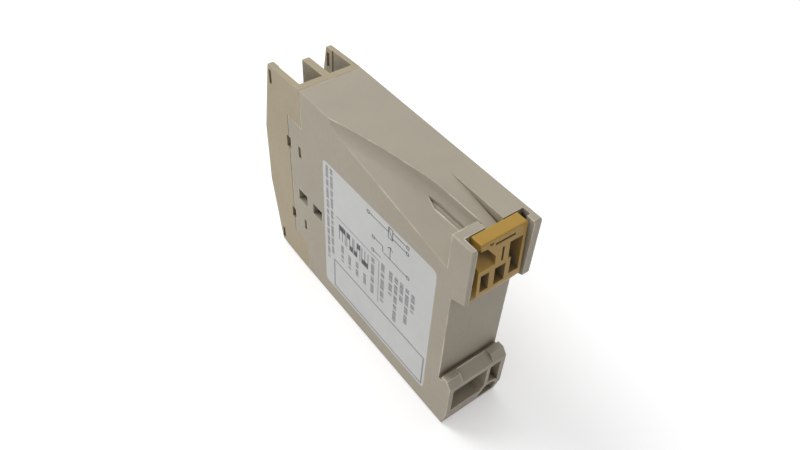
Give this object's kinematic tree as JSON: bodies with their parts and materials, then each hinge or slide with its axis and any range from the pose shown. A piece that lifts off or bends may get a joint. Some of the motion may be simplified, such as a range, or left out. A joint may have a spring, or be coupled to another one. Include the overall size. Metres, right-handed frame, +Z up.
{
  "type": "rail-mounted timer relay",
  "caption": "Slim rail-mounted timer relay: beige box with open terminal bays at both ends, rear rail hook and sliding clip, front setting dial and selectors.",
  "frame": {"origin": "centre of the housing's outline, on the lower end it stands on", "axes": "+X to the label side, +Y to the rail side, +Z up to the end with the sliding clip"},
  "size_m": [0.0226, 0.103, 0.08],
  "materials": {
    "case_plastic": "fine satin moulding, grey beige",
    "block_plastic": "fine satin moulding, yellower beige",
    "clip_plastic": "satin ochre moulding",
    "label_film": "silver-white printed film",
    "panel_plastic": "dark grey satin plate",
    "dial_plastic": "black satin knob",
    "rotor_plastic": "white moulding",
    "green_lens": "clear green",
    "amber_lens": "clear amber",
    "plated_steel": "bright zinc plating",
    "board_laminate": "green solder resist",
    "contact_brass": "tinned brass",
    "black_moulding": "black moulding compound",
    "film_capacitor_yellow": "yellow box",
    "can_sleeve": "dark blue sleeve",
    "blue_coating": "dipped coating",
    "resistor_lacquer": "tan lacquer",
    "relay_moulding": "black moulding",
    "relay_cover_plastic": "smoked cover",
    "copper_winding": "enamelled copper wire",
    "soft_iron": "nickel-plated iron"
  },
  "bodies": {
    "housing": {"armature_spring": "contact_brass", "board_pins": "contact_brass", "break_contacts": "contact_brass", "control_board": "board_laminate", "dial_potentiometer": "black_moulding", "diodes": "black_moulding", "front_block": "block_plastic", "front_panel": "panel_plastic", "main_board": "board_laminate", "mains_capacitor": "film_capacitor_yellow", "make_contacts": "contact_brass", "mode_switch": "black_moulding", "output_lamp": "amber_lens", "output_lens": "amber_lens", "power_lamp": "green_lens", "power_lens": "green_lens", "range_switch": "black_moulding", "rear_case": "case_plastic", "relay_base": "relay_moulding", "relay_bobbin": "relay_moulding", "relay_coil": "copper_winding", "relay_core": "soft_iron", "relay_cover": "relay_cover_plastic", "relay_yoke": "soft_iron", "resistors": "resistor_lacquer", "side_label": "label_film", "smoothing_capacitor": "can_sleeve", "terminal_bar_lower_far_inner": "contact_brass", "terminal_bar_lower_far_outer": "contact_brass", "terminal_bar_lower_near_inner": "contact_brass", "terminal_bar_lower_near_outer": "contact_brass", "terminal_bar_upper_far_inner": "contact_brass", "terminal_bar_upper_far_outer": "contact_brass", "terminal_bar_upper_near_inner": "contact_brass", "terminal_bar_upper_near_outer": "contact_brass", "terminal_clamps": "plated_steel", "terminal_screws": "plated_steel", "timer_chip": "black_moulding", "timing_capacitor": "can_sleeve", "transistor": "black_moulding", "varistor": "blue_coating"},
    "clip": {"rail_clip": "clip_plastic"},
    "dial": {"time_dial": "dial_plastic", "dial_shaft": "rotor_plastic"},
    "range_rotor": {"range_selector": "rotor_plastic"},
    "mode_rotor": {"mode_selector": "rotor_plastic"},
    "armature": {"relay_armature": "soft_iron", "contact_carrier": "relay_moulding", "moving_contacts": "contact_brass"}
  },
  "joints": [
    {"name": "clip_slide", "type": "slide", "parent": "housing", "child": "clip", "axis": [0, 0, 1], "range_m": [0, 0.004], "stiffness_N_per_m": 1500},
    {"name": "dial_turn", "type": "hinge", "parent": "housing", "child": "dial", "pos_m": [0, -0.0515, 0.0396], "axis": [0, -1, 0], "range_deg": [-135, 135]},
    {"name": "range_turn", "type": "hinge", "parent": "housing", "child": "range_rotor", "pos_m": [-0.005, -0.0515, 0.049], "axis": [0, -1, 0], "range_deg": [-105, 105]},
    {"name": "mode_turn", "type": "hinge", "parent": "housing", "child": "mode_rotor", "pos_m": [0.005, -0.0515, 0.049], "axis": [0, -1, 0], "range_deg": [-45, 45]},
    {"name": "armature_tilt", "type": "hinge", "parent": "housing", "child": "armature", "pos_m": [0.007, 0.0183, 0.03], "axis": [0, 0, -1], "range_deg": [0, 6], "stiffness_Nm_per_rad": 0.02}
  ]
}
